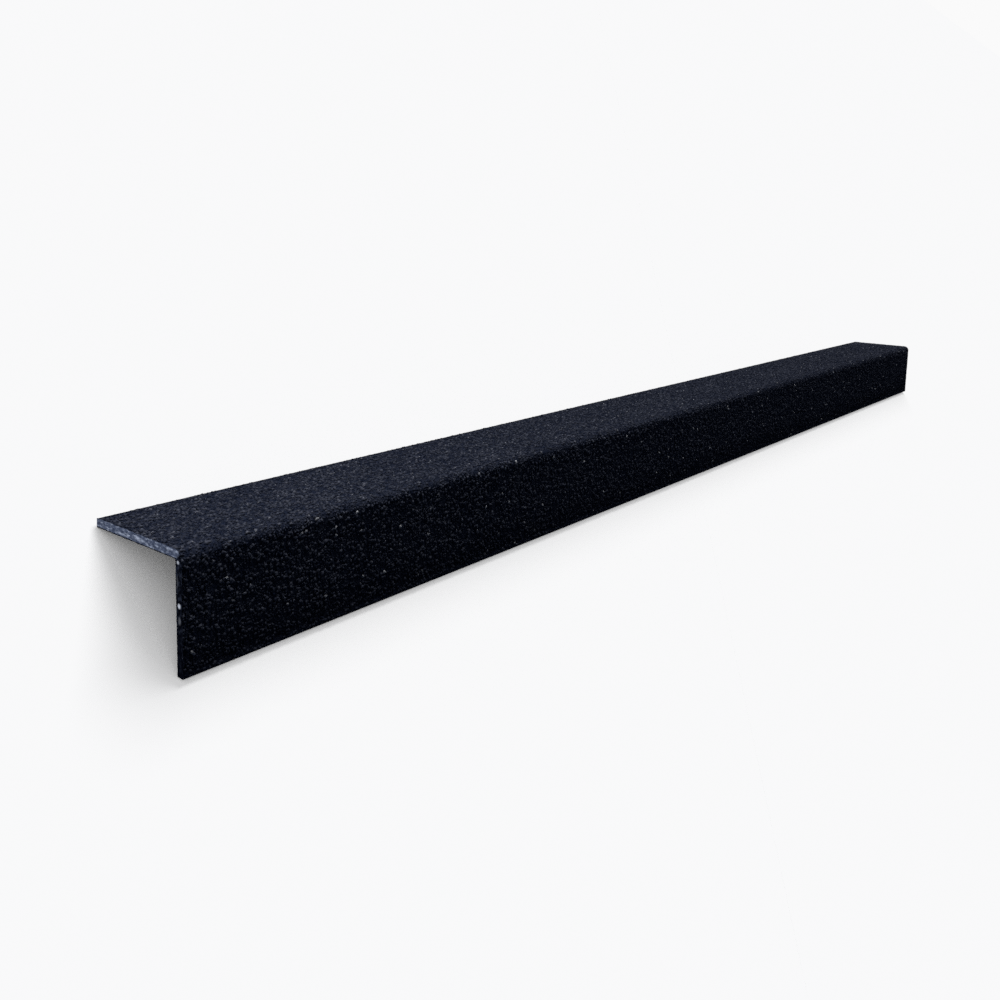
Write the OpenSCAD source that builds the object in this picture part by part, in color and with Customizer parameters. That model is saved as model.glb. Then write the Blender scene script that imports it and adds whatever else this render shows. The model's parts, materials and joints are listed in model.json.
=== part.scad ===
// Anti-slip stair nosing: one moulded angle of glass-reinforced plastic.
// The section is drawn as it sits on a step, with the tread leg level and the
// riser leg hanging from its front. The finished stock then leans back until
// it rests on the inner edges of both legs, as it lies on a level floor.

/* [Section] */
// Width of the tread leg, from the riser face to its back edge
tread_w = 65; // [50:1:90]
// Height of the riser leg, from the tread face to its lower edge
riser_h = 55; // [30:1:80]
// Thickness of both legs, with the grit coat
wall = 4.5; // [3:0.5:6]
// Outside radius of the nose, where the tread turns into the riser
nose_r = 5; // [1:0.5:9]
// Radius of the inside corner, which fits over the step's edge
inner_r = 1; // [0.5:0.5:4]
// Radius that eases the outer edge at the end of each leg
edge_r = 0.5; // [0.2:0.1:1.5]

/* [Stock] */
// Length that the stock is cut to
cut_length = 1000; // [300:50:3000]

/* [Hidden] */
$fn = 96;

// Overshoot of a cutting shape past the face that it cuts
past = 1;

// Slope of the tread leg at rest, with both inner leg edges on the floor
lean = atan2(riser_h - wall, tread_w - wall);
// Height of the nose's sharp corner above the floor at rest
corner_z = wall * sin(lean) + riser_h * cos(lean);
// Place of the sharp corner that centres the resting part front to back
corner_y = (riser_h * sin(lean) - tread_w * cos(lean)) / 2;

// Block below and behind a corner at the origin, with that corner rounded
module rounded_block(depth, height, r) {
    translate([r, -height]) square([depth - r, height]);
    translate([0, -height]) square([r, height - r]);
    translate([r, -r]) circle(r);
}

// Sliver between a square corner at the origin and the radius that eases it
module edge_relief(r) {
    difference() {
        translate([-r, -r]) square(r + past);
        translate([-r, -r]) circle(r);
    }
}

// Cross-section of the angle, with the nose's sharp corner at the origin
module angle_section() {
    difference() {
        rounded_block(tread_w, riser_h, nose_r);
        translate([wall, -wall])
            rounded_block(tread_w - wall + past, riser_h - wall + past, inner_r);
        translate([tread_w, 0]) edge_relief(edge_r);
        translate([0, -riser_h]) rotate(180) edge_relief(edge_r);
    }
}

// Section drawn out along X to the cut length, both ends cut square
module cut_stock() {
    rotate([90, 0, 90]) linear_extrude(cut_length, center = true) angle_section();
}

// The nosing at rest on its two leg edges
module nosing_angle() {
    color([0.075, 0.085, 0.11])
        translate([0, corner_y, corner_z]) rotate([-lean, 0, 0]) cut_stock();
}

nosing_angle();
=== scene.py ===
"""Anti-slip stair nosing: a moulded glass-reinforced angle with a coat of bonded grit.

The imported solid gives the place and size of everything. The laminate replaces it, set back
by the depth of the grit coat, so that the tips of the grains lie in the solid's outer faces.
"""
import json
import math

import bmesh
import bpy
import numpy as np
from mathutils import Euler, Matrix, Vector

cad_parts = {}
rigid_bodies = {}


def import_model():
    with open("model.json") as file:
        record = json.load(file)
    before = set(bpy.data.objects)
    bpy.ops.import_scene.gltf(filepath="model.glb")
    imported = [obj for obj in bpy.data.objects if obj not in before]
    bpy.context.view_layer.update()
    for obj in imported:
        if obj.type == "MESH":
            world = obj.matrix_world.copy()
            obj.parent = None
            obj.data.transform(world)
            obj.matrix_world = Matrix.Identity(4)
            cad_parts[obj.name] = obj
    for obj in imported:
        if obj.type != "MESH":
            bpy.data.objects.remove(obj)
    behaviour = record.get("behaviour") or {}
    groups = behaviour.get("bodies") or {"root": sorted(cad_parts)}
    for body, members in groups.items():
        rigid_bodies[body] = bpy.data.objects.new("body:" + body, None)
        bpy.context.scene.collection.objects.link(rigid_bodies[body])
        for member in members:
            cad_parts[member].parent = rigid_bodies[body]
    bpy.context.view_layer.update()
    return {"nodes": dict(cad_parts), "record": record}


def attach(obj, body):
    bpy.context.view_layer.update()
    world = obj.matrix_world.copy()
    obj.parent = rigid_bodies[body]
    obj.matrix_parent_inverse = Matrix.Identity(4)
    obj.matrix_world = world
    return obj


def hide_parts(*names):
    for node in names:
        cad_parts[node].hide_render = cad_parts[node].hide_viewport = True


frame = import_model()

bl_info = {
    "name": "Stair Nosing",
    "version": (1, 0, 0),
    "blender": (4, 5, 0),
    "location": "3D View > Sidebar > Stair Nosing",
    "description": "Dresses a grit-coated stair nosing around its packed solid",
    "category": "Object",
}

SOLID_NODE = "nosing_angle"
BODY = "root"
BAKE_MAP = "OFBake"
MM = 0.001

# Grit is made in this many lengths, so that each piece stays light
GRIT_LENGTHS = 5
GRAIN_SHAPES = 7
# Height of a grain of unit width, as it beds on its flat side
GRAIN_HEIGHT = 0.7
# How far a grain's corners lie from its middle, least and most, as a share of its width
CORNER_REACH = (0.42, 0.5)
# Grains tried for each square of the least gap, and how strongly small ones outnumber large ones
GRAIN_TRIES = 1.5
SMALL_BIAS = 1.8
# How high in the coat the smallest grains' tips end, least and most, and how much higher the largest do
TIP_SHARE = (0.18, 0.56)
TIP_BY_SIZE = 0.56
# How pale the smallest grains may be, and how much paler the largest are
TONE_SHARE = 0.38
TONE_BY_SIZE = 0.62
# How far the grains stay back from the plane of a sawn end, and from the solid's faces
SAW_CLEARANCE = 0.04 * MM
FACE_CLEARANCE = 0.01 * MM
# Share of their height that the grains keep over the nose, where the mould pressed them
NOSE_PRESS = 0.95
# Share of the relief left along the two outer edges, where resin fills the coat, and how wide that is
EDGE_RELIEF = 0.45
EDGE_BAND = 3.2 * MM
# How far up from the riser's foot the coat is darkened as painted shade, and the share of its colour kept
# at the riser's foot and at the tread's back edge, which is darkened too
FOOT_SHADE_BAND = 24.0 * MM
UNSHADED_AT_EDGES = {"At Foot": 0.4, "At Back": 0.0}
# How far the flush cut at each end stays short of the solid's outer faces
END_INSET = 0.12 * MM
# Rovings that the saw laid open on the tread's end: place back and up, half width and half height
ROVINGS = (
    (30.8 * MM, -2.4 * MM, 5.0 * MM, 1.0 * MM),
    (45.0 * MM, -3.0 * MM, 5.0 * MM, 0.6 * MM),
    (8.5 * MM, -1.2 * MM, 3.6 * MM, 0.7 * MM),
    (3.4 * MM, -1.3 * MM, 1.9 * MM, 0.7 * MM),
)
# Fibre bundles cut across on the riser's end: the same, and how bright each one is
FIBRE_ENDS = (
    (2.6 * MM, -5.6 * MM, 1.0 * MM, 0.9 * MM, 0.55),
    (3.3 * MM, -13.8 * MM, 0.7 * MM, 3.2 * MM, 0.05),
    (2.3 * MM, -24.0 * MM, 1.2 * MM, 1.3 * MM, 0.75),
    (2.2 * MM, -30.3 * MM, 1.1 * MM, 2.0 * MM, 0.11),
)
# Colour that the floor has for light on its way back to the part
BOUNCE = (0.12, 0.155, 0.23)
# Colour of the even light from all round
FILL = (0.7, 0.95, 1.5)
# Glow that makes the floor as pale as the backdrop, and how far off the part dims it
FLOOR_GLOW = 0.60
SHADE_REACH = 0.25
# Share of open sky from which the glow is whole, and what is left of it in the deepest shade
OPEN_SHARE = 0.4
DEEP_GLOW = 0.03
GRAIN_SEED = 41
CHIP_SEED = 17
# Steps along the stock, and across each rounded corner of the section
LENGTH_STEPS = 40
ARC_STEPS = 10
EDGE_STEPS = 3


def size_property(name, description, default):
    """A length in metres that a user may change."""
    return bpy.props.FloatProperty(
        name=name, description=description, default=default, min=0.0, precision=5, unit="LENGTH"
    )


def colour_property(name, description, default):
    """A linear colour that a user may change."""
    return bpy.props.FloatVectorProperty(
        name=name, description=description, default=default, size=3, min=0.0, max=1.0, subtype="COLOR"
    )


def place_property(name, default):
    """A place from the near end's nose corner that a user may change."""
    return bpy.props.FloatVectorProperty(
        name=name,
        description="From the near end's nose corner: along the stock, back over the tread, up from it",
        default=default,
        size=3,
        subtype="TRANSLATION",
        unit="LENGTH",
    )


def angle_property(name, description, degrees):
    """An angle that a user may change."""
    return bpy.props.FloatProperty(
        name=name, description=description, default=math.radians(degrees), subtype="ANGLE"
    )


class NosingSizes(bpy.types.PropertyGroup):
    """Sizes of the grit coat and of the saw-cut edges."""

    coat_depth: size_property("Coat depth", "How far the grains stand out of the resin", 0.95 * MM)
    grain_width: size_property("Grain width", "Mean width of a grain of grit", 1.7 * MM)
    grain_gap: size_property("Grain gap", "Least distance between two grains' middles", 0.9 * MM)
    grain_spread: bpy.props.FloatProperty(
        name="Grain spread",
        description="Share by which a grain may be wider or narrower than the mean",
        default=0.55,
        min=0.0,
        max=0.6,
        subtype="FACTOR",
    )
    chip_depth: size_property("Chip depth", "Deepest chip that the saw left on a cut edge", 0.24 * MM)
    outline_step: size_property("Outline step", "Distance between points along the section", 1.5 * MM)


class NosingColours(bpy.types.PropertyGroup):
    """Colours of the resin, the grit and the glass in the cut ends."""

    resin: colour_property("Resin", "Black resin that binds the laminate", (0.0026, 0.0036, 0.0085))
    grain_dark: colour_property("Dark grain", "Colour of most grains", (0.0066, 0.0094, 0.0199))
    grain_light: colour_property("Light grain", "Colour of the palest grains", (0.0545, 0.0590, 0.0775))
    # Painted glint: bright colour laid on a few grains of the riser as highlights
    painted_glint: colour_property("Glint", "Colour of the few bright grains", (0.27, 0.275, 0.29))
    glass: colour_property("Glass", "Glass roving laid open by the saw", (0.48, 0.53, 0.64))
    cut_resin: colour_property("Cut resin", "Sawn resin between the rovings", (0.072, 0.089, 0.139))
    close_resin: colour_property("Close resin", "Sawn resin with little glass", (0.0009, 0.0012, 0.0034))
    fibre_end: colour_property("Fibre end", "Bright end of a cut fibre bundle", (0.80, 0.84, 0.92))


class StudioSettings(bpy.types.PropertyGroup):
    """Camera, lights and floor."""

    camera_place: place_property("Camera place", (-0.21385, -0.32979, 0.13265))
    camera_turn: angle_property(
        "Camera turn", "Turn of the view from square-on to the riser towards the stock's length", 51.646
    )
    camera_dip: angle_property("Camera dip", "How far the view dips below the tread's plane", 7.362)
    camera_roll: angle_property("Camera roll", "Roll of the view", -1.439)
    camera_lens: bpy.props.FloatProperty(
        name="Lens", description="Focal length on a 36 mm frame", default=34.618, unit="CAMERA"
    )
    camera_shift: bpy.props.FloatProperty(
        name="Shift", description="Vertical lens shift, as a share of the frame", default=-0.15
    )
    floor: colour_property("Floor", "Pale studio floor", (0.33, 0.33, 0.33))
    backdrop: colour_property("Backdrop", "What the camera sees past the floor", (0.956, 0.956, 0.956))
    sun_from: bpy.props.FloatVectorProperty(
        name="Soft light from",
        description="Direction from the part to the large soft light",
        default=(0.40, 0.56, 0.73),
        size=3,
        subtype="DIRECTION",
    )
    sun_strength: bpy.props.FloatProperty(
        name="Soft light", description="Strength of the large soft light", default=4.4
    )
    sun_spread: angle_property("Softness", "Angle that the soft light spans, seen from the part", 36)
    side_place: place_property("Side light place", (-0.62, 0.05, 0.32))
    side_power: bpy.props.FloatProperty(
        name="Side light",
        description="Power of the small soft light beside the near end",
        default=4.0,
        unit="POWER",
    )
    side_width: size_property("Side light width", "Width of the soft light beside the near end", 0.35)
    fill_strength: bpy.props.FloatProperty(
        name="Fill", description="Strength of the even light from all round", default=0.03
    )


class Section:
    """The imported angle's cross-section: where it lies and what it measures, in metres.

    A point of the section is (back, up) from the sharp corner where the tread's and the
    riser's outer faces would meet. The tread runs back from it and the riser hangs down.
    """

    def __init__(self):
        solid = frame["nodes"][SOLID_NODE].data
        points = np.empty(len(solid.vertices) * 3)
        solid.vertices.foreach_get("co", points)
        points = points.reshape(-1, 3)
        mounts = {mount["name"]: mount for mount in frame["record"]["mounts"]}
        tread_side = mounts["tread_underside"]
        self.up = -Vector(tread_side["axis"]).normalized()
        self.back = Vector(mounts["riser_back"]["axis"]).normalized()
        tread_level = float((points @ np.array(self.up)).max())
        riser_level = float((points @ -np.array(self.back)).max())
        self.corner = self.up * tread_level - self.back * riser_level
        self.start = float(points[:, 0].min())
        self.end = float(points[:, 0].max())
        back, up = self.flatten(points)
        # How close to a face's plane a point counts as lying on it
        near = 0.02 * MM
        on_tread = back[up > -near]
        self.tread_w = float(back.max())
        self.riser_h = float(-up.min())
        self.wall = tread_level - Vector(tread_side["pos_m"]).dot(self.up)
        self.nose_r = float(on_tread.min())
        self.edge_r = self.tread_w - float(on_tread.max())
        self.inner_r = float(back[np.abs(up + self.wall) < near].min()) - self.wall

    def flatten(self, points):
        """Section coordinates (back, up) of an array of points in the part's frame."""
        away = points - np.array(self.corner)
        return away @ np.array(self.back), away @ np.array(self.up)

    def place(self, along, back, up):
        """Point in the part's frame at a distance along the stock and a place in the section."""
        return Vector((along, 0.0, 0.0)) + self.corner + self.back * back + self.up * up

    def lean(self):
        """Angle that turns the resting section level again, about X."""
        return math.atan2(self.up.y, self.up.z)


SECTION = Section()


def arc(centre, radius, first, last, steps):
    """Points on an arc from one angle to another, in degrees."""
    angles = np.radians(np.linspace(first, last, steps + 1))
    return [(centre[0] + radius * math.cos(a), centre[1] + radius * math.sin(a)) for a in angles]


def outer_outline(inset):
    """Section points of the coated side, from the tread's back edge round to the riser's foot."""
    s = SECTION
    edge = s.edge_r
    nose_middle = (s.nose_r, -s.nose_r)
    points = arc((s.tread_w - edge, -inset - edge), edge, 0, 90, EDGE_STEPS)
    points += arc(nose_middle, s.nose_r - inset, 90, 180, ARC_STEPS)
    points += arc((inset + edge, edge - s.riser_h), edge, 180, 270, EDGE_STEPS)
    return points


def inner_outline():
    """Section points of the bare side, from the riser's foot round to the tread's back edge."""
    s = SECTION
    corner_middle = (s.wall + s.inner_r, -s.wall - s.inner_r)
    return [
        (s.wall, -s.riser_h),
        *arc(corner_middle, s.inner_r, 180, 90, ARC_STEPS),
        (s.tread_w, -s.wall),
    ]


def even_steps(points, step):
    """A closed outline with points added so that none of its sides is much longer than step."""
    dense = []
    for (y0, z0), (y1, z1) in zip(points, points[1:] + points[:1]):
        count = max(1, round(math.hypot(y1 - y0, z1 - z0) / step))
        dense += [(y0 + (y1 - y0) * i / count, z0 + (z1 - z0) * i / count) for i in range(count)]
    return dense


def inward_normals(points):
    """Unit direction into the outline at each of its points, which run anticlockwise."""
    ring = np.array(points)
    chord = np.roll(ring, -1, axis=0) - np.roll(ring, 1, axis=0)
    chord /= np.linalg.norm(chord, axis=1, keepdims=True)
    return np.stack([-chord[:, 1], chord[:, 0]], axis=1)


def relief_share(back, up):
    """Share of the coat's relief at a place in the section: less along the two outer edges."""
    from_edge = np.minimum(SECTION.tread_w - back, up + SECTION.riser_h)
    return np.clip(from_edge / EDGE_BAND, EDGE_RELIEF, 1.0)


def filled_edges(back, up):
    """Places in the section drawn towards the outer faces where resin fills the coat."""
    relief = relief_share(back, up)
    on_riser, on_tread = up < -SECTION.nose_r, back > SECTION.nose_r
    return np.where(on_riser, back * relief, back), np.where(on_tread, up * relief, up)


def live_socket(sockets, key):
    """The socket of that number, or the one of that name that the node now uses."""
    if isinstance(key, int):
        return sockets[key]
    return next(socket for socket in sockets if socket.name == key and socket.enabled)


def opaque(colour):
    """A colour with full alpha, or the socket that gives one."""
    return colour if isinstance(colour, bpy.types.NodeSocket) else (*colour, 1.0)


class NodeBuilder:
    """Adds nodes to one tree, and sets or links each input by its name or number."""

    def __init__(self, tree):
        self.tree = tree

    def add(self, kind, inputs=None, **settings):
        node = self.tree.nodes.new(kind)
        for name, value in settings.items():
            setattr(node, name, value)
        for key, value in (inputs or {}).items():
            self.feed(live_socket(node.inputs, key), value)
        return node

    def feed(self, socket, value):
        if isinstance(value, bpy.types.NodeSocket):
            self.tree.links.new(value, socket)
        else:
            socket.default_value = value

    def math(self, operation, *values):
        inputs = dict(enumerate(values))
        return self.add("ShaderNodeMath", inputs, operation=operation).outputs[0]

    def ramp(self, value, low, high, to_low=0.0, to_high=1.0, smooth=True):
        """The value's place between low and high, eased, as a number from to_low to to_high."""
        inputs = {
            "Value": value,
            "From Min": low,
            "From Max": high,
            "To Min": to_low,
            "To Max": to_high,
        }
        easing = "SMOOTHSTEP" if smooth else "LINEAR"
        node = self.add("ShaderNodeMapRange", inputs, interpolation_type=easing, clamp=True)
        return node.outputs[0]

    def mix(self, factor, first, second):
        """A number between two numbers."""
        inputs = {"Factor": factor, "A": first, "B": second}
        return live_socket(self.add("ShaderNodeMix", inputs, data_type="FLOAT").outputs, "Result")

    def blend(self, factor, first, second):
        """A colour between two colours."""
        node = self.add("ShaderNodeMix", data_type="RGBA")
        self.feed(live_socket(node.inputs, "Factor"), factor)
        self.feed(live_socket(node.inputs, "A"), opaque(first))
        self.feed(live_socket(node.inputs, "B"), opaque(second))
        return live_socket(node.outputs, "Result")

    def noise(self, vector, scale, detail=2.0, roughness=0.5):
        inputs = {"Vector": vector, "Scale": scale, "Detail": detail, "Roughness": roughness}
        return self.add("ShaderNodeTexNoise", inputs).outputs[0]

    def stretch(self, vector, scale):
        """The vector times a scale of its own on each axis."""
        node = self.add("ShaderNodeVectorMath", {0: vector, 1: scale}, operation="MULTIPLY")
        return node.outputs[0]

    def attribute(self, name):
        return self.add("ShaderNodeAttribute", attribute_name=name).outputs["Fac"]

    def group(self, tree, inputs):
        return self.add("ShaderNodeGroup", inputs, node_tree=tree).outputs[0]


def shader_group(name, *numbers):
    """A shader node group with a vector and the named numbers in, and one number out."""
    tree = bpy.data.node_groups.new(name, "ShaderNodeTree")
    tree.interface.new_socket("Vector", in_out="INPUT", socket_type="NodeSocketVector")
    for label in numbers:
        tree.interface.new_socket(label, in_out="INPUT", socket_type="NodeSocketFloat")
    tree.interface.new_socket("Value", in_out="OUTPUT", socket_type="NodeSocketFloat")
    nodes = NodeBuilder(tree)
    return tree, nodes, nodes.add("NodeGroupInput").outputs


def mottle_group():
    """Slow change of tone over the stock, as resin and grit settle unevenly in the mould."""
    tree, nodes, given = shader_group("settled_mottle", "Low", "High")
    broad = nodes.noise(given["Vector"], 22.0, detail=3.0)
    close = nodes.noise(given["Vector"], 150.0, detail=2.0)
    both = nodes.mix(0.4, broad, close)
    tone = nodes.ramp(both, 0.32, 0.68, given["Low"], given["High"])
    nodes.add("NodeGroupOutput", {"Value": tone})
    return tree


def fibre_group():
    """Bright streaks of glass fibre, from 0 to 1, as long and as fine as the given vector is stretched."""
    tree, nodes, given = shader_group("glass_fibres", "Amount")
    threads = nodes.noise(given["Vector"], 1.0, detail=3.0, roughness=0.6)
    faintest = nodes.math("SUBTRACT", 0.72, nodes.math("MULTIPLY", given["Amount"], 0.3))
    brightest = nodes.math("ADD", faintest, 0.16)
    nodes.add("NodeGroupOutput", {"Value": nodes.ramp(threads, faintest, brightest)})
    return tree


def gathered_group():
    """Tone that changes in patches a few grains wide, as like grains gather."""
    tree, nodes, given = shader_group("gathered_grains", "Low", "High")
    patches = nodes.noise(given["Vector"], 380.0, detail=1.0)
    tone = nodes.ramp(patches, 0.36, 0.64, given["Low"], given["High"])
    nodes.add("NodeGroupOutput", {"Value": tone})
    return tree


def edge_shade_group():
    """Share of the coat's colour kept, the rest turned to resin black: painted shade towards the riser's
    foot, and a darker band along the tread's back edge.
    """
    tree, nodes, given = shader_group("resin_rich_edges", "At Foot", "At Back")
    axes = nodes.add("ShaderNodeSeparateXYZ", {0: given["Vector"]}).outputs
    from_foot = nodes.math("ADD", axes["Z"], SECTION.riser_h)
    from_back = nodes.math("SUBTRACT", SECTION.tread_w, axes["Y"])
    above_foot = nodes.ramp(from_foot, 0.0, FOOT_SHADE_BAND, given["At Foot"], 1.0)
    before_back = nodes.ramp(from_back, 0.0, EDGE_BAND, given["At Back"], 1.0)
    nodes.add("NodeGroupOutput", {"Value": nodes.math("MULTIPLY", above_foot, before_back)})
    return tree


SHARED = {}


def shared_group(make):
    """The node group that make builds, built on first use."""
    if make not in SHARED:
        SHARED[make] = make()
    return SHARED[make]


def new_material(name):
    """A material with only its output and its Principled shader."""
    material = bpy.data.materials.new(name)
    material.use_nodes = True
    nodes = NodeBuilder(material.node_tree)
    return material, nodes, material.node_tree.nodes["Principled BSDF"]


def section_coordinates(nodes):
    """Object coordinates turned and moved so that they are along, back and up in the section."""
    turn = Euler((SECTION.lean(), 0.0, 0.0))
    shift = -(turn.to_matrix() @ SECTION.corner)
    inputs = {
        "Vector": nodes.add("ShaderNodeTexCoord").outputs["Object"],
        "Location": shift,
        "Rotation": turn,
    }
    return nodes.add("ShaderNodeMapping", inputs).outputs[0]


def grit_material(colours):
    """Crushed black mineral: dark angular grains, the larger ones paler and a few of them glassy; a few
    grains on the riser carry painted glints, and painted shade darkens the grit towards the riser's foot.
    """
    material, nodes, shader = new_material("bonded_grit")
    tone = nodes.attribute("grain_tone")
    place = section_coordinates(nodes)
    settled = nodes.group(shared_group(mottle_group), {"Vector": place, "Low": -0.06, "High": 0.10})
    gathered = nodes.group(shared_group(gathered_group), {"Vector": place, "Low": -0.14, "High": 0.18})
    # Painted shade: the grit turns to resin black towards the riser's foot, and is darker along the
    # tread's back edge
    unshaded = nodes.group(shared_group(edge_shade_group), {"Vector": place, **UNSHADED_AT_EDGES})
    skewed = nodes.math("MULTIPLY", nodes.math("POWER", tone, 2.0), 0.85)
    palest = nodes.ramp(tone, 0.88, 1.0, 0.0, 0.5)
    pale = nodes.math("ADD", nodes.math("ADD", skewed, 0.09), settled)
    pale = nodes.math("ADD", nodes.math("ADD", pale, gathered), palest)
    colour = nodes.blend(pale, colours.grain_dark, colours.grain_light)
    # Painted glints: a few grains are painted bright as highlights, on the riser alone
    axes = nodes.add("ShaderNodeSeparateXYZ", {0: place}).outputs
    hanging = nodes.ramp(axes["Z"], -SECTION.nose_r, 0.0, 1.0, 0.0)
    painted_glint = nodes.math("MULTIPLY", nodes.ramp(tone, 0.935, 0.965), hanging)
    colour = nodes.blend(painted_glint, colour, colours.painted_glint)
    # The painted shade towards the riser's foot and along the tread's back edge is laid on here
    nodes.feed(shader.inputs["Base Color"], nodes.blend(unshaded, colours.resin, colour))
    glassy = nodes.ramp(tone, 0.88, 0.94)
    nodes.feed(shader.inputs["Roughness"], nodes.mix(glassy, 0.62, 0.40))
    shader.inputs["Specular IOR Level"].default_value = 0.0
    nodes.feed(shader.inputs["Coat Weight"], nodes.math("MULTIPLY", glassy, 0.25))
    shader.inputs["Coat Roughness"].default_value = 0.15
    return material


def soft_spot(nodes, axes, back, up, half_width, half_height):
    """An oval on the sawn end, from 1 in its middle to 0 at its edge."""
    aside = nodes.math("DIVIDE", nodes.math("SUBTRACT", axes["Y"], back), half_width)
    above = nodes.math("DIVIDE", nodes.math("SUBTRACT", axes["Z"], up), half_height)
    away = nodes.math("ADD", nodes.math("MULTIPLY", aside, aside), nodes.math("MULTIPLY", above, above))
    return nodes.ramp(away, 0.0, 1.2, 1.0, 0.0)


def laminate_material(colours):
    """Black resin with glass in it: a rough bed under the grit, a moulded inside and sawn ends."""
    material, nodes, shader = new_material("glass_laminate")
    s = SECTION
    place = section_coordinates(nodes)
    axes = nodes.add("ShaderNodeSeparateXYZ", {0: place}).outputs
    depth_below = nodes.math("MULTIPLY", axes["Z"], -1.0)
    cut_end = nodes.attribute("cut_end")
    bare_side = nodes.attribute("bare_side")
    fibres = shared_group(fibre_group)
    tone = nodes.group(shared_group(mottle_group), {"Vector": place, "Low": 0.75, "High": 1.35})

    # Sawn end of the tread leg: rovings laid open in long pale streaks
    streak_place = nodes.stretch(place, (90.0, 260.0, 1000.0))
    streaks = nodes.group(fibres, {"Vector": streak_place, "Amount": 0.75})
    clump = nodes.ramp(nodes.noise(place, 85.0, detail=2.0), 0.40, 0.62)
    frayed = nodes.ramp(streaks, 0.0, 0.8, 0.45, 1.0)
    pale = nodes.math("MULTIPLY", streaks, nodes.mix(clump, 0.35, 0.8))
    for spot in ROVINGS:
        roving = nodes.math("MULTIPLY", soft_spot(nodes, axes, *spot), frayed)
        pale = nodes.math("MAXIMUM", pale, roving)
    weave = nodes.noise(nodes.stretch(place, (90.0, 480.0, 800.0)), 1.0, detail=4.0, roughness=0.7)
    pale = nodes.math("ADD", pale, nodes.ramp(weave, 0.42, 0.68, -0.08, 0.22))
    tread_cut = nodes.blend(pale, colours.cut_resin, colours.glass)
    tread_cut = nodes.blend(nodes.ramp(weave, 0.30, 0.50, 0.65, 0.0), tread_cut, colours.resin)

    # Sawn end of the riser leg: close dark resin with faint upright streaks and a few fibre ends
    past_mitre = nodes.math("SUBTRACT", depth_below, axes["Y"])
    on_riser = nodes.ramp(past_mitre, -0.8 * MM, 1.4 * MM)
    upright = nodes.noise(nodes.stretch(place, (300.0, 650.0, 420.0)), 1.0, detail=4.0, roughness=0.65)
    fading = nodes.ramp(depth_below, s.wall, s.riser_h, 1.0, 0.3)
    faint = nodes.math("MULTIPLY", nodes.ramp(upright, 0.44, 0.68, 0.0, 0.34), fading)
    riser_cut = nodes.blend(faint, colours.close_resin, colours.cut_resin)
    ends = nodes.math("MULTIPLY", nodes.ramp(upright, 0.70, 0.76), 0.3)
    for *spot, brightness in FIBRE_ENDS:
        bundle = nodes.math("MULTIPLY", soft_spot(nodes, axes, *spot), brightness)
        ends = nodes.math("MAXIMUM", ends, bundle)
    leg_cut = nodes.blend(on_riser, tread_cut, riser_cut)
    speckled = nodes.blend(nodes.math("MULTIPLY", ends, on_riser), leg_cut, colours.fibre_end)

    # Resin skin along the inside of the cut, where there is no glass
    inside = nodes.math("MINIMUM", axes["Y"], depth_below)
    skin_begins, skin_whole = s.wall - 0.7 * MM, s.wall - 0.35 * MM
    skin = nodes.ramp(inside, skin_begins, skin_whole)
    cut_colour = nodes.blend(skin, speckled, colours.resin)

    # Moulded inside, with the long fibres just showing under the resin, and fines under the grit
    long_place = nodes.stretch(place, (30.0, 900.0, 900.0))
    long_fibres = nodes.group(fibres, {"Vector": long_place, "Amount": 0.55})
    hint = nodes.math("MULTIPLY", long_fibres, 0.06)
    bare_colour = nodes.blend(hint, colours.resin, colours.glass)
    fines = nodes.add("ShaderNodeTexVoronoi", {"Vector": place, "Scale": 1100.0}).outputs
    fine_tone = nodes.add("ShaderNodeSeparateColor", {0: fines["Color"]}).outputs[0]
    fine_pale = nodes.math("MULTIPLY", nodes.math("POWER", fine_tone, 2.0), 0.25)
    gathered = nodes.group(shared_group(gathered_group), {"Vector": place, "Low": -0.08, "High": 0.10})
    # Painted shade: the bed turns to resin black towards the riser's foot, and is darker along the tread's
    # back edge
    unshaded = nodes.group(shared_group(edge_shade_group), {"Vector": place, **UNSHADED_AT_EDGES})
    fine_pale = nodes.math("ADD", fine_pale, gathered)
    bed_colour = nodes.blend(fine_pale, colours.grain_dark, colours.grain_light)
    bed_colour = nodes.blend(unshaded, colours.resin, bed_colour)

    side_colour = nodes.blend(bare_side, bed_colour, bare_colour)
    nodes.feed(shader.inputs["Base Color"], nodes.blend(cut_end, side_colour, cut_colour))
    side_rough = nodes.mix(bare_side, 0.62, nodes.math("MULTIPLY", tone, 0.36))
    nodes.feed(shader.inputs["Roughness"], nodes.mix(cut_end, side_rough, 0.55))
    shader.inputs["Specular IOR Level"].default_value = 0.02

    # Relief: a lumpy bed, fine lengthwise lines inside, saw marks on the ends
    lumps = nodes.math("SUBTRACT", 2.0, nodes.math("MULTIPLY", fines["Distance"], 2.5))
    saw_lines = nodes.noise(nodes.stretch(place, (200.0, 1600.0, 160.0)), 1.0, detail=2.0)
    side_height = nodes.mix(bare_side, lumps, nodes.math("MULTIPLY", long_fibres, 0.3))
    height = nodes.mix(cut_end, side_height, saw_lines)
    bump = nodes.add("ShaderNodeBump", {"Height": height, "Strength": 0.5, "Distance": 0.2 * MM})
    nodes.feed(shader.inputs["Normal"], bump.outputs[0])
    return material


def add_piece(mesh, material):
    """Puts a finished mesh into the scene as a piece of the nosing."""
    piece = bpy.data.objects.new(mesh.name, mesh)
    bpy.context.scene.collection.objects.link(piece)
    if material.name not in mesh.materials:
        mesh.materials.append(material)
    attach(piece, BODY)
    return piece


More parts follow.
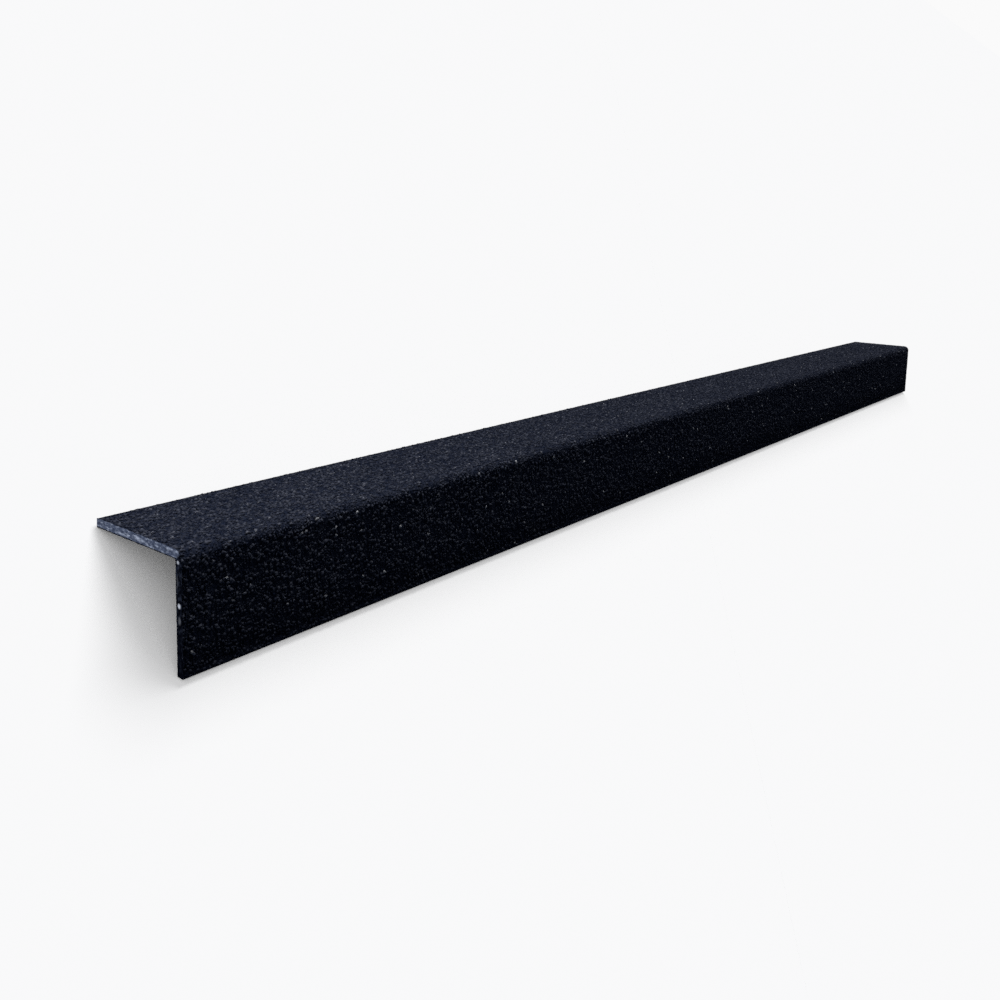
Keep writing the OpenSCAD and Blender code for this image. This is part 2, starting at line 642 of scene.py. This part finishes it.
class LaminateMesh:
    """The moulded angle under the grit, built ring by ring from one cut end to the other."""

    # Margin of the bake map, the share of its height for the sides and of its width for one end
    MAP_EDGE = 0.02
    SIDES_SHARE = 0.45
    END_SHARE = 0.46

    def __init__(self, sizes):
        coated = outer_outline(sizes.coat_depth)
        self.outline = even_steps(coated + inner_outline(), sizes.outline_step)
        self.chip_depth = sizes.chip_depth
        self.coat_depth = sizes.coat_depth
        self.coated_length = self.path_length(coated)
        closed = np.append(self.outline, self.outline[:1], axis=0)
        self.run = np.append(0.0, np.cumsum(np.linalg.norm(np.diff(closed, axis=0), axis=1)))

    @staticmethod
    def path_length(points):
        return float(np.linalg.norm(np.diff(np.array(points), axis=0), axis=1).sum())

    def ring_places(self):
        """Distance along the stock and section points of every ring, chipped at both ends."""
        s = SECTION
        rng = np.random.default_rng(CHIP_SEED)
        whole = np.array(self.outline)
        inward = inward_normals(self.outline)
        coated = self.run[:-1] < self.coated_length
        # At each end the bed flares out to the outer faces, where the saw cut the coat flush
        cover = self.coat_depth * relief_share(*whole.T) - END_INSET
        flare = -inward * np.where(coated, cover, 0.0)[:, None]
        flare[whole[:, 0] > s.nose_r, 0] = 0.0
        flare[whole[:, 1] < -s.nose_r, 1] = 0.0
        whole[coated] = np.stack(filled_edges(*whole[coated].T), axis=1)
        full = whole + flare
        stations = np.linspace(s.start, s.end, LENGTH_STEPS + 1)
        stations[0] += self.chip_depth
        stations[-1] -= self.chip_depth
        rings = [(along, whole) for along in stations]
        chipped = []
        for _ in range(2):
            chips = self.chip_depth * rng.uniform(0.15, 1.0, len(whole)) ** 2
            chipped.append(full + inward * chips[:, None])
        return [(s.start, chipped[0]), *rings, (s.end, chipped[1])]

    def build(self, name):
        shape = bmesh.new()
        rings = []
        for along, points in self.ring_places():
            rings.append([shape.verts.new(SECTION.place(along, y, z)) for y, z in points])
        cut_layer = shape.faces.layers.float.new("cut_end")
        bare_layer = shape.faces.layers.float.new("bare_side")
        map_layer = shape.loops.layers.uv.new(BAKE_MAP)
        count = len(self.outline)
        for index, (ring, further) in enumerate(zip(rings, rings[1:])):
            chipped = index in (0, len(rings) - 2)
            for i in range(count):
                j = (i + 1) % count
                face = shape.faces.new((ring[i], further[i], further[j], ring[j]))
                face.smooth = not chipped
                face[cut_layer] = float(chipped)
                face[bare_layer] = float(self.run[i] >= self.coated_length)
                runs = (self.run[i], self.run[i], self.run[i + 1], self.run[i + 1])
                for loop, run in zip(face.loops, runs):
                    loop[map_layer].uv = self.side_spot(loop.vert.co.x, run)
        for ring in (rings[0], rings[-1][::-1]):
            face = shape.faces.new(ring)
            face[cut_layer] = 1.0
            for loop in face.loops:
                loop[map_layer].uv = self.end_spot(loop.vert.co)
        bmesh.ops.recalc_face_normals(shape, faces=shape.faces)
        bmesh.ops.triangulate(shape, faces=[f for f in shape.faces if len(f.verts) > 4])
        mesh = bpy.data.meshes.new(name)
        shape.to_mesh(mesh)
        shape.free()
        return mesh

    def side_spot(self, along, run):
        """Place of a side point on the bake map: lengthwise across it, round the section up it."""
        share = (along - SECTION.start) / (SECTION.end - SECTION.start)
        u = self.MAP_EDGE + share * (1.0 - 2.0 * self.MAP_EDGE)
        return u, self.MAP_EDGE + self.SIDES_SHARE * run / self.run[-1]

    def end_spot(self, point):
        """Place of an end point on the bake map, where both ends lie side by side above the sides."""
        away = point - SECTION.corner
        scale = self.END_SHARE / SECTION.tread_w
        right = 0.5 if point.x > 0 else 0.0
        u = self.MAP_EDGE + right + scale * away.dot(SECTION.back)
        return u, 1.0 - self.MAP_EDGE + scale * away.dot(SECTION.up)


class STAIRNOSING_OT_laminate(bpy.types.Operator):
    """Builds the moulded angle, with its bed for the grit and its sawn ends"""

    bl_idname = "stair_nosing.laminate"
    bl_label = "Laminate Angle"

    def execute(self, context):
        scene = context.scene
        mesh = LaminateMesh(scene.nosing_sizes).build("laminate_angle")
        piece = add_piece(mesh, laminate_material(scene.nosing_colours))
        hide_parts(SOLID_NODE)
        return {"FINISHED"}


def grain_collection():
    """A few angular grains of unit width, flatter than wide, each a closed hull of scattered corners."""
    rng = np.random.default_rng(GRAIN_SEED)
    axes = np.vstack([np.eye(3), -np.eye(3)])
    stray = 0.45
    collection = bpy.data.collections.new("grain_shapes")
    for index in range(GRAIN_SHAPES):
        corners = axes + rng.uniform(-stray, stray, axes.shape)
        corners = np.vstack([corners, rng.uniform(-1.0, 1.0, (1 + index % 3, 3))])
        corners /= np.linalg.norm(corners, axis=1, keepdims=True)
        corners *= rng.uniform(*CORNER_REACH, (len(corners), 1))
        corners[:, 2] *= GRAIN_HEIGHT
        shape = bmesh.new()
        for corner in corners:
            shape.verts.new(corner)
        hull = bmesh.ops.convex_hull(shape, input=shape.verts)
        bmesh.ops.delete(shape, geom=hull["geom_interior"] + hull["geom_unused"], context="VERTS")
        bmesh.ops.recalc_face_normals(shape, faces=shape.faces)
        for face in shape.faces:
            face.smooth = True
        mesh = bpy.data.meshes.new(f"grain_shape_{index + 1}")
        shape.to_mesh(mesh)
        shape.free()
        collection.objects.link(bpy.data.objects.new(mesh.name, mesh))
    return collection


def scatter_tree():
    """Geometry nodes that bed grains all over a skin, each sunk so that its tip stays in the coat."""
    tree = bpy.data.node_groups.new("scatter_grit", "GeometryNodeTree")
    sockets = (
        ("Skin", "NodeSocketGeometry"),
        ("Grain Width", "NodeSocketFloat"),
        ("Grain Spread", "NodeSocketFloat"),
        ("Grain Gap", "NodeSocketFloat"),
        ("Coat Depth", "NodeSocketFloat"),
        ("Grains", "NodeSocketCollection"),
        ("Grit", "NodeSocketMaterial"),
        ("Seed", "NodeSocketInt"),
    )
    for label, kind in sockets:
        tree.interface.new_socket(label, in_out="INPUT", socket_type=kind)
    tree.interface.new_socket("Grit Coat", in_out="OUTPUT", socket_type="NodeSocketGeometry")
    nodes = NodeBuilder(tree)
    given = nodes.add("NodeGroupInput").outputs

    def chance(kind, low, high, offset):
        seed = nodes.math("ADD", given["Seed"], float(offset))
        inputs = {"Min": low, "Max": high, "Seed": seed}
        node = nodes.add("FunctionNodeRandomValue", inputs, data_type=kind)
        return live_socket(node.outputs, "Value")

    closest = nodes.math("DIVIDE", 1.0, nodes.math("MULTIPLY", given["Grain Gap"], given["Grain Gap"]))
    spots = nodes.add(
        "GeometryNodeDistributePointsOnFaces",
        {
            "Mesh": given["Skin"],
            "Distance Min": given["Grain Gap"],
            "Density Max": nodes.math("MULTIPLY", closest, GRAIN_TRIES),
            "Seed": given["Seed"],
        },
        distribute_method="POISSON",
    ).outputs

    narrow = nodes.math("SUBTRACT", 1.0, given["Grain Spread"])
    wide = nodes.math("ADD", 1.0, given["Grain Spread"])
    bigness = nodes.math("POWER", chance("FLOAT", 0.0, 1.0, 1), SMALL_BIAS)
    width = nodes.math("MULTIPLY", given["Grain Width"], nodes.mix(bigness, narrow, wide))
    higher = nodes.math("MULTIPLY", bigness, TIP_BY_SIZE)
    stand = nodes.math("ADD", chance("FLOAT", *TIP_SHARE, 2), higher)
    tip = nodes.math("MULTIPLY", given["Coat Depth"], stand)
    half_height = nodes.math("MULTIPLY", width, CORNER_REACH[0] * GRAIN_HEIGHT)
    rise = nodes.math("SUBTRACT", tip, half_height)
    sized_inputs = {"Geometry": spots["Points"], "Name": "grain_width", "Value": width}
    sized = nodes.add("GeometryNodeStoreNamedAttribute", sized_inputs, data_type="FLOAT", domain="POINT")
    lift = nodes.add("ShaderNodeVectorMath", {0: spots["Normal"], "Scale": rise}, operation="SCALE")
    sunk_inputs = {"Geometry": sized.outputs[0], "Offset": lift.outputs[0]}
    sunk = nodes.add("GeometryNodeSetPosition", sunk_inputs)
    paler = nodes.math("MULTIPLY", bigness, TONE_BY_SIZE)
    tone = nodes.math("ADD", chance("FLOAT", 0.0, TONE_SHARE, 3), paler)
    toned_inputs = {"Geometry": sunk.outputs[0], "Name": "grain_tone", "Value": tone}
    toned = nodes.add("GeometryNodeStoreNamedAttribute", toned_inputs, data_type="FLOAT", domain="POINT")

    tilt = 0.6
    rock = chance("FLOAT_VECTOR", (-tilt, -tilt, 0.0), (tilt, tilt, math.tau), 4)
    rocked = nodes.add("FunctionNodeEulerToRotation", {0: rock})
    turn_inputs = {"Rotation": spots["Rotation"], "Rotate By": rocked.outputs[0]}
    turn = nodes.add("FunctionNodeRotateRotation", turn_inputs, rotation_space="LOCAL")
    shapes_inputs = {"Collection": given["Grains"], "Separate Children": True, "Reset Children": True}
    shapes = nodes.add("GeometryNodeCollectionInfo", shapes_inputs)
    size = nodes.add("GeometryNodeInputNamedAttribute", {"Name": "grain_width"}, data_type="FLOAT")
    grains = nodes.add(
        "GeometryNodeInstanceOnPoints",
        {
            "Points": toned.outputs[0],
            "Instance": shapes.outputs[0],
            "Pick Instance": True,
            "Instance Index": chance("INT", 0, GRAIN_SHAPES - 1, 5),
            "Rotation": turn.outputs[0],
            "Scale": live_socket(size.outputs, "Attribute"),
        },
    )
    solid = nodes.add("GeometryNodeRealizeInstances", {0: grains.outputs[0]})
    coated_inputs = {"Geometry": solid.outputs[0], "Material": given["Grit"]}
    coated = nodes.add("GeometryNodeSetMaterial", coated_inputs)
    nodes.add("NodeGroupOutput", {0: coated.outputs[0]})
    return tree


def coated_skin(sizes, first, last):
    """An open sheet over the resin bed from one place along the stock to another, facing outwards."""
    s = SECTION
    inset = sizes.coat_depth
    path = [(s.tread_w - s.edge_r, -inset)]
    path += arc((s.nose_r, -s.nose_r), s.nose_r - inset, 90, 180, ARC_STEPS)
    path += [(inset, s.edge_r - s.riser_h)]
    points = [s.place(along, y, z) for y, z in path for along in (first, last)]
    faces = [(2 * i, 2 * i + 2, 2 * i + 3, 2 * i + 1) for i in range(len(path) - 1)]
    skin = bpy.data.meshes.new("coated_skin")
    skin.from_pydata(points, [], faces)
    if skin.polygons[0].normal.dot(s.up) < 0:
        skin.flip_normals()
    return skin


def trim_grains(mesh, coat_depth):
    """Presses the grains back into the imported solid: into its faces, its edges and its sawn ends."""
    s = SECTION
    points = np.empty(len(mesh.vertices) * 3)
    mesh.vertices.foreach_get("co", points)
    points = points.reshape(-1, 3)
    along = np.clip(points[:, 0], s.start + SAW_CLEARANCE, s.end - SAW_CLEARANCE)
    back, up = filled_edges(*s.flatten(points))
    on_riser, on_tread = up < -s.nose_r, back > s.nose_r
    back = np.where(on_riser, np.maximum(back, FACE_CLEARANCE), back)
    up = np.where(on_tread, np.minimum(up, -FACE_CLEARANCE), up)
    reach = np.hypot(back - s.nose_r, up + s.nose_r)
    bed = s.nose_r - coat_depth
    on_nose = (back < s.nose_r) & (up > -s.nose_r) & (reach > bed)
    pressed = np.minimum(bed + (reach - bed) * NOSE_PRESS, s.nose_r - FACE_CLEARANCE)
    shrink = np.where(on_nose, pressed / np.maximum(reach, FACE_CLEARANCE), 1.0)
    back = np.minimum(s.nose_r + (back - s.nose_r) * shrink, s.tread_w - s.edge_r)
    up = np.maximum((up + s.nose_r) * shrink - s.nose_r, s.edge_r - s.riser_h)
    placed = np.outer(along, (1.0, 0.0, 0.0)) + np.array(s.corner)
    placed += np.outer(back, s.back) + np.outer(up, s.up)
    mesh.vertices.foreach_set("co", placed.ravel())
    return placed, back, up


def map_grains(mesh, points, back, up, first, last):
    """Gives a length of grit its bake map: the coated faces unrolled flat, seen from outside."""
    s = SECTION
    quarter = 0.5 * math.pi * s.nose_r
    bend = np.clip(np.arctan2(s.nose_r - back, up + s.nose_r), 0.0, 0.5 * math.pi) * s.nose_r
    run = np.where(back > s.nose_r, s.nose_r - back, bend)
    run = np.where(up < -s.nose_r, quarter - s.nose_r - up, run)
    low, high = s.nose_r - s.tread_w, quarter - s.nose_r + s.riser_h
    spots = np.stack([(points[:, 0] - first) / (last - first), (run - low) / (high - low)], axis=1)
    corners = np.empty(len(mesh.loops), dtype=np.int32)
    mesh.loops.foreach_get("vertex_index", corners)
    layer = mesh.uv_layers.new(name=BAKE_MAP)
    margin = 0.01
    layer.uv.foreach_set("vector", (margin + (1.0 - 2.0 * margin) * spots[corners]).ravel())


def scattered_grit(sizes, tree, grains, material, index):
    """The mesh of one length of the grit coat."""
    s = SECTION
    cuts = np.linspace(s.start, s.end, GRIT_LENGTHS + 1)
    first, last = float(cuts[index]), float(cuts[index + 1])
    holder = bpy.data.objects.new("coated_skin", coated_skin(sizes, first, last))
    bpy.context.scene.collection.objects.link(holder)
    modifier = holder.modifiers.new("grit", "NODES")
    modifier.node_group = tree
    values = {
        "Grain Width": sizes.grain_width,
        "Grain Spread": sizes.grain_spread,
        "Grain Gap": sizes.grain_gap,
        "Coat Depth": sizes.coat_depth,
        "Grains": grains,
        "Grit": material,
        "Seed": GRAIN_SEED + 10 * index,
    }
    for item in tree.interface.items_tree:
        if item.in_out == "INPUT" and item.name in values:
            modifier[item.identifier] = values[item.name]
    graph = bpy.context.evaluated_depsgraph_get()
    mesh = bpy.data.meshes.new_from_object(holder.evaluated_get(graph), depsgraph=graph)
    mesh.name = f"grit_coat_{index + 1}"
    skin = holder.data
    bpy.data.objects.remove(holder)
    bpy.data.meshes.remove(skin)
    points, back, up = trim_grains(mesh, sizes.coat_depth)
    map_grains(mesh, points, back, up, first, last)
    return mesh


class STAIRNOSING_OT_grit_coat(bpy.types.Operator):
    """Scatters the bonded grit over the tread, the nose and the riser"""

    bl_idname = "stair_nosing.grit_coat"
    bl_label = "Grit Coat"

    def execute(self, context):
        scene = context.scene
        material = grit_material(scene.nosing_colours)
        grains = grain_collection()
        tree = scatter_tree()
        for index in range(GRIT_LENGTHS):
            mesh = scattered_grit(scene.nosing_sizes, tree, grains, material, index)
            add_piece(mesh, material)
        for shape in list(grains.objects):
            bpy.data.objects.remove(shape)
        bpy.data.collections.remove(grains)
        return {"FINISHED"}


def studio_floor(colour):
    """A wide pale floor at the height that the nosing rests on."""
    reach = 40.0
    corners = [(-reach, -reach, 0.0), (reach, -reach, 0.0), (reach, reach, 0.0), (-reach, reach, 0.0)]
    mesh = bpy.data.meshes.new("studio_floor")
    mesh.from_pydata(corners, [], [(0, 1, 2, 3)])
    floor = bpy.data.objects.new("studio_floor", mesh)
    bpy.context.scene.collection.objects.link(floor)
    material, nodes, shader = new_material("pale_floor")
    seen = nodes.add("ShaderNodeLightPath").outputs["Is Camera Ray"]
    # Light that the floor sends back to the part is dimmer and cooler than what the camera sees
    nodes.feed(shader.inputs["Base Color"], nodes.blend(seen, BOUNCE, colour))
    # The floor's glow fades where the part hides the sky from it
    open_sky = nodes.add("ShaderNodeAmbientOcclusion", {"Distance": SHADE_REACH}, samples=2).outputs["AO"]
    lit = nodes.ramp(open_sky, 0.0, OPEN_SHARE, DEEP_GLOW, 1.0, smooth=False)
    glow = nodes.blend(nodes.math("MULTIPLY", seen, lit), (0.0, 0.0, 0.0), (1.0, 1.0, 1.0))
    nodes.feed(shader.inputs["Emission Color"], glow)
    shader.inputs["Emission Strength"].default_value = FLOOR_GLOW
    shader.inputs["Roughness"].default_value = 0.9
    shader.inputs["Specular IOR Level"].default_value = 0.0
    mesh.materials.append(material)
    return floor


def studio_world(studio):
    """An even dim light from all round, which the camera sees as a pale backdrop."""
    world = bpy.data.worlds.new("studio_world")
    world.use_nodes = True
    nodes = NodeBuilder(world.node_tree)
    world.node_tree.nodes.clear()
    fill = nodes.add("ShaderNodeBackground", {"Color": opaque(FILL), "Strength": studio.fill_strength})
    seen = nodes.add("ShaderNodeBackground", {"Color": opaque(studio.backdrop), "Strength": 1.0})
    path = nodes.add("ShaderNodeLightPath").outputs["Is Camera Ray"]
    mixed = nodes.add("ShaderNodeMixShader", {0: path, 1: fill.outputs[0], 2: seen.outputs[0]})
    nodes.add("ShaderNodeOutputWorld", {"Surface": mixed.outputs[0]})
    bpy.context.scene.world = world


def soft_light(studio):
    """A large soft light behind the tread, which leaves the riser in shade."""
    light = bpy.data.lights.new("soft_light", "SUN")
    light.energy = studio.sun_strength
    light.angle = studio.sun_spread
    holder = bpy.data.objects.new("soft_light", light)
    holder.rotation_mode = "QUATERNION"
    holder.rotation_quaternion = Vector(studio.sun_from).to_track_quat("Z", "Y")
    bpy.context.scene.collection.objects.link(holder)


def side_light(studio, floor):
    """A small soft light past the near end, which picks out the sawn face and skips the floor."""
    s = SECTION
    along, back, up = studio.side_place
    place = s.place(s.start + along, back, up)
    light = bpy.data.lights.new("side_light", "AREA")
    light.shape = "DISK"
    light.size = studio.side_width
    light.energy = studio.side_power
    holder = bpy.data.objects.new("side_light", light)
    holder.location = place
    holder.rotation_mode = "QUATERNION"
    holder.rotation_quaternion = (place - s.place(s.start, 0.0, 0.0)).to_track_quat("Z", "Y")
    skipped = bpy.data.collections.new("side_light_skips")
    skipped.objects.link(floor)
    skipped.collection_objects[0].light_linking.link_state = "EXCLUDE"
    holder.light_linking.receiver_collection = skipped
    bpy.context.scene.collection.objects.link(holder)


def photo_camera(studio):
    """The camera, placed from the near end's nose corner in the section's own directions."""
    s = SECTION
    turn, dip, roll = studio.camera_turn, studio.camera_dip, studio.camera_roll
    ahead = Vector((math.sin(turn) * math.cos(dip), math.cos(turn) * math.cos(dip), -math.sin(dip)))
    level = Vector((math.cos(turn), -math.sin(turn), 0.0))
    below = ahead.cross(level)
    right = level * math.cos(roll) + below * math.sin(roll)
    down = below * math.cos(roll) - level * math.sin(roll)
    aim = Matrix((right, -down, -ahead)).transposed()
    rest = Matrix((Vector((1.0, 0.0, 0.0)), s.back, s.up)).transposed()
    matrix = (rest @ aim).to_4x4()
    along, back, up = studio.camera_place
    matrix.translation = s.place(s.start + along, back, up)
    data = bpy.data.cameras.new("photo_camera")
    data.sensor_width = 36.0
    data.lens = studio.camera_lens
    data.shift_y = studio.camera_shift
    data.clip_start = 0.01
    data.clip_end = 200.0
    camera = bpy.data.objects.new("photo_camera", data)
    camera.matrix_world = matrix
    bpy.context.scene.collection.objects.link(camera)
    bpy.context.scene.camera = camera


class STAIRNOSING_OT_studio(bpy.types.Operator):
    """Sets the pale floor, the soft light and the camera"""

    bl_idname = "stair_nosing.studio"
    bl_label = "Studio Stage"

    def execute(self, context):
        studio = context.scene.nosing_studio
        floor = studio_floor(studio.floor)
        studio_world(studio)
        soft_light(studio)
        side_light(studio, floor)
        photo_camera(studio)
        context.scene.view_settings.view_transform = "Standard"
        # A denoiser would smear the grit
        context.scene.cycles.use_denoising = False
        return {"FINISHED"}


class STAIRNOSING_PT_panel(bpy.types.Panel):
    """Lists the nosing's settings and the steps that build it"""

    bl_idname = "STAIRNOSING_PT_panel"
    bl_label = "Stair Nosing"
    bl_space_type = "VIEW_3D"
    bl_region_type = "UI"
    bl_category = "Stair Nosing"

    def draw(self, context):
        layout = self.layout
        scene = context.scene
        for settings in (scene.nosing_sizes, scene.nosing_colours, scene.nosing_studio):
            box = layout.box()
            for name in settings.__annotations__:
                box.prop(settings, name)
        for operator in OPERATORS:
            layout.operator(operator.bl_idname)


OPERATORS = (STAIRNOSING_OT_laminate, STAIRNOSING_OT_grit_coat, STAIRNOSING_OT_studio)
SETTINGS = (NosingSizes, NosingColours, StudioSettings)
CLASSES = (*SETTINGS, *OPERATORS, STAIRNOSING_PT_panel)


def register():
    for each in CLASSES:
        bpy.utils.register_class(each)
    bpy.types.Scene.nosing_sizes = bpy.props.PointerProperty(type=NosingSizes)
    bpy.types.Scene.nosing_colours = bpy.props.PointerProperty(type=NosingColours)
    bpy.types.Scene.nosing_studio = bpy.props.PointerProperty(type=StudioSettings)


def unregister():
    del bpy.types.Scene.nosing_studio
    del bpy.types.Scene.nosing_colours
    del bpy.types.Scene.nosing_sizes
    for each in reversed(CLASSES):
        bpy.utils.unregister_class(each)


def main():
    register()
    bpy.ops.stair_nosing.laminate()
    bpy.ops.stair_nosing.grit_coat()
    bpy.ops.stair_nosing.studio()


if __name__ == "__main__":
    main()
